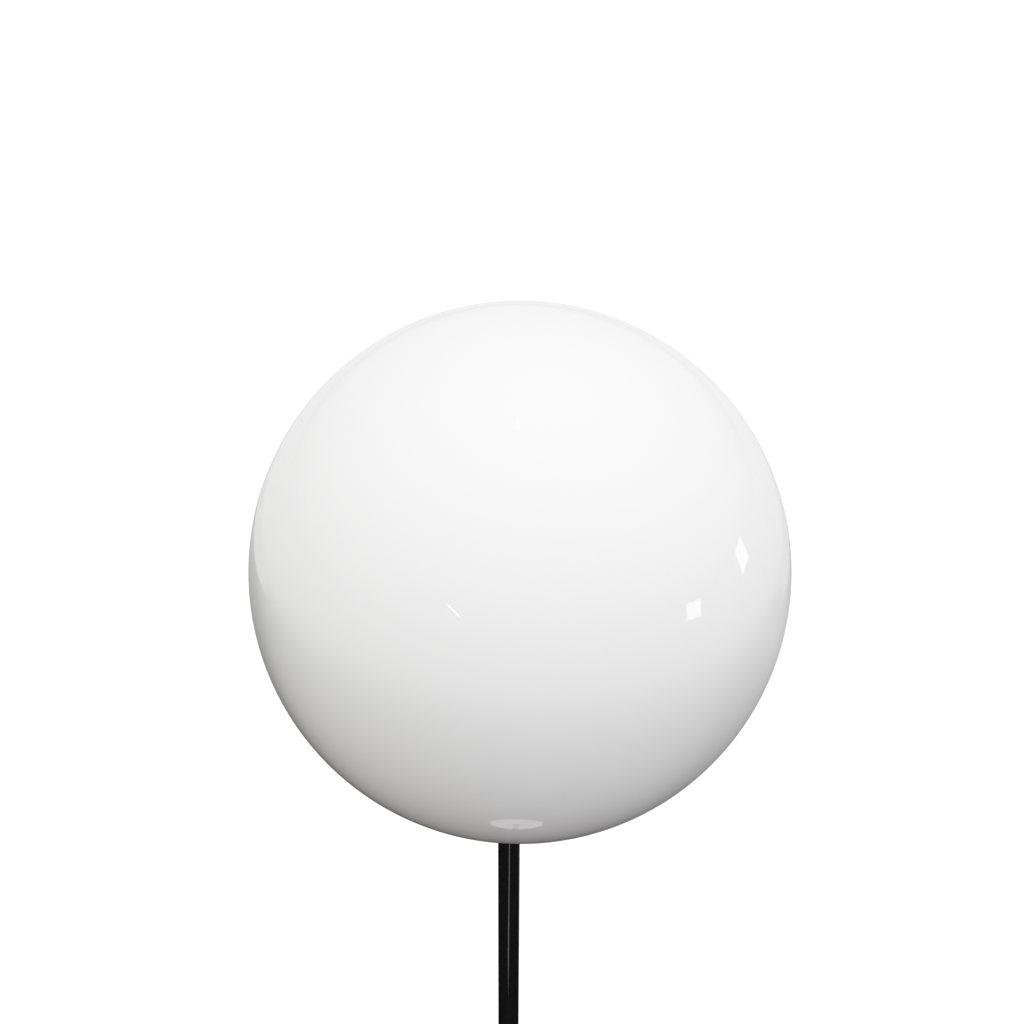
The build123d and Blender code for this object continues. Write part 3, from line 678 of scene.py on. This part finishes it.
sleeve_foot, sleeve_mouth = [corner.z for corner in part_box("holder_sleeve")]
sleeve_bore = 0.0133
sleeve_sheet = 0.0003
sleeve_wave = 0.0007
seat_radius = 0.0138
seat_depth = 0.0017
brim_radius = 0.0144
brim_depth = 0.0014
overlap = 0.0002  # of the thread with the plain bands at its ends
screw_sleeve = made_one(
    rolled_thread(
        "screw_sleeve",
        sleeve_bore + sleeve_wave + sleeve_sheet,
        sleeve_wave,
        sleeve_foot + seat_depth - overlap,
        sleeve_mouth - brim_depth + overlap,
        sleeve_sheet,
    ),
    band("sleeve_seat", sleeve_bore, seat_radius, sleeve_foot, sleeve_foot + seat_depth),
    band("sleeve_brim", sleeve_bore, brim_radius, sleeve_mouth - brim_depth, sleeve_mouth),
)
fit(screw_sleeve, nickel, "nickel", "stand", "holder_sleeve")
bronze = finish("strip", "bronze", 0.3, 1.0)
grain(bronze, 120, (0.60, 0.40, 0.22), (0.76, 0.54, 0.33), (0.22, 0.4), 0.000006,
      stretch=(10, 1, 1))
dress(bronze, "holder_spring")

# ---------------------------------------------------------------- inner lead
# A round two-core lead from the lampholder down the stem to the terminal block: a pale
# plastic sheath, with two blue cores that leave it at each end and run to the screws.
sheath = finish("sheath", "lead_sheath", 0.4)
grain(sheath, 800, (0.66, 0.66, 0.63), (0.74, 0.74, 0.72), (0.35, 0.5), 0.00001)
dress(sheath, "inner_lead")
cores = finish("cores", "core_sheath", 0.38)
grain(cores, 1200, (0.06, 0.12, 0.36), (0.10, 0.18, 0.46), (0.32, 0.46))
dress(cores, "base_cores", "holder_cores")

# ---------------------------------------------------------------- bulb
# A frosted 60 mm bulb with an E27 cap: blown glass, a plated cap with a black glass end and
# a soldered tip, and inside it coated rods between two spiders on a glass post.
frosted = finish("bulb", "frosted_glass", 0.5, coat_weight=0.2, coat_roughness=0.3)
grain(frosted, 900, (0.875, 0.872, 0.86), (0.90, 0.898, 0.888), (0.45, 0.55), 0.000006)
dress(frosted, "bulb_glass")
cap_crest = 0.0132
cap_wave = 0.0007
cap_sheet = 0.0004
cap_end = 0.0095
cone_foot = tip_foot + 0.0040
cone_top = tip_foot + 0.0070
collar_foot = tip_foot + 0.0209
collar_top = tip_foot + 0.0250
rolled_cap = made_one(
    rolled_thread(
        "rolled_cap", cap_crest, cap_wave, cone_top - 0.0002, collar_foot + 0.0003, cap_sheet
    ),
    turned("cap_cone", [
        (cap_end, cone_foot),
        (cap_crest - 0.0006, cone_top - 0.0004),
        (cap_crest - 0.0003, cone_top),
        (cap_crest - 0.0008, cone_top + 0.0002),
        (cap_end, cone_foot + cap_sheet),
        (cap_end, cone_foot),
    ]),
    turned("cap_collar", [
        (cap_crest - 0.0009, collar_foot),
        (cap_crest - 0.0001, collar_foot),
        (cap_crest - 0.0003, collar_foot + 0.0007),
        (cap_crest - 0.0003, collar_top - 0.0006),
        (cap_crest, collar_top - 0.0003),
        (cap_crest - 0.0001, collar_top),
        (cap_crest - 0.0004, collar_top),
        (cap_crest - 0.0009, collar_foot),
    ]),
)
fit(rolled_cap, nickel, "nickel", "bulb", "bulb_cap")
black_glass = finish("insulator", "black_glass", 0.08)
grain(black_glass, 500, (0.010, 0.010, 0.013), (0.024, 0.024, 0.030), (0.05, 0.14), 0.00001)
dress(black_glass, "bulb_insulator")
dress(zinc, "bulb_tip")
clear_glass = finish("post", "clear_glass", 0.05, transmission_weight=0.9)
grain(clear_glass, 300, (0.88, 0.92, 0.89), (0.96, 0.98, 0.96), (0.02, 0.08), 0.00001)
dress(clear_glass, "bulb_post")
phosphor = finish("rods", "phosphor", 0.6)
grain(phosphor, 1800, (0.70, 0.52, 0.08), (0.86, 0.68, 0.16), (0.5, 0.7), 0.00003)
dress(phosphor, "bulb_filaments")

# ---------------------------------------------------------------- globe
# A ball of white opal glass, blown and fire polished, with a short neck that stands in the
# cup. The white runs through the glass, and the skin is fully glossy.
opal = finish("blown", "opal_glass", 0.012)
grain(opal, 4, (0.925, 0.926, 0.925), (0.935, 0.934, 0.932), (0.009, 0.015), detail=1)

blown_radius = 0.175
globe_wall = 0.0035
neck_radius = 0.041
neck_length = 0.016
neck_blend = 0.006
rim_rounding = 0.0012
globe_lean = radians(2)
floor_and_gasket = 0.005  # from the cup's underside up to the rim of the neck
rim_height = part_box("globe_cup")[0].z + floor_and_gasket
ball_height = sqrt(blown_radius ** 2 - neck_radius ** 2) + neck_length
ball_steps = 104
blend_across = neck_radius + neck_blend
blend_drop = sqrt((globe_radius + neck_blend) ** 2 - blend_across ** 2)
blend_height = ball_height - blend_drop
ball_end = -degrees(atan2(blend_drop, blend_across))
neck_inside = neck_radius - globe_wall
globe_glass = turned("globe_glass", [
    *arc((0, ball_height), globe_radius, 90, ball_end, ball_steps),
    *arc((blend_across, blend_height), neck_blend, 180 + ball_end, 180, 8)[1:],
    *arc((neck_radius - rim_rounding, rim_rounding), rim_rounding, 0, -90, 5),
    *arc((neck_inside + rim_rounding, rim_rounding), rim_rounding, -90, -180, 5),
    *arc((blend_across, blend_height), neck_blend + globe_wall, 180, 180 + ball_end, 8),
    *arc((0, ball_height), globe_radius - globe_wall, ball_end, 90, ball_steps)[1:],
], steps=2 * ball_steps, edge=60)
globe_glass.location = (0, 0, rim_height)
globe_glass.rotation_euler = (0, globe_lean, 0)
bpy.ops.object.transform_apply(location=True, rotation=True, scale=True)
fit(globe_glass, opal, "opal_glass", "globe", "globe")
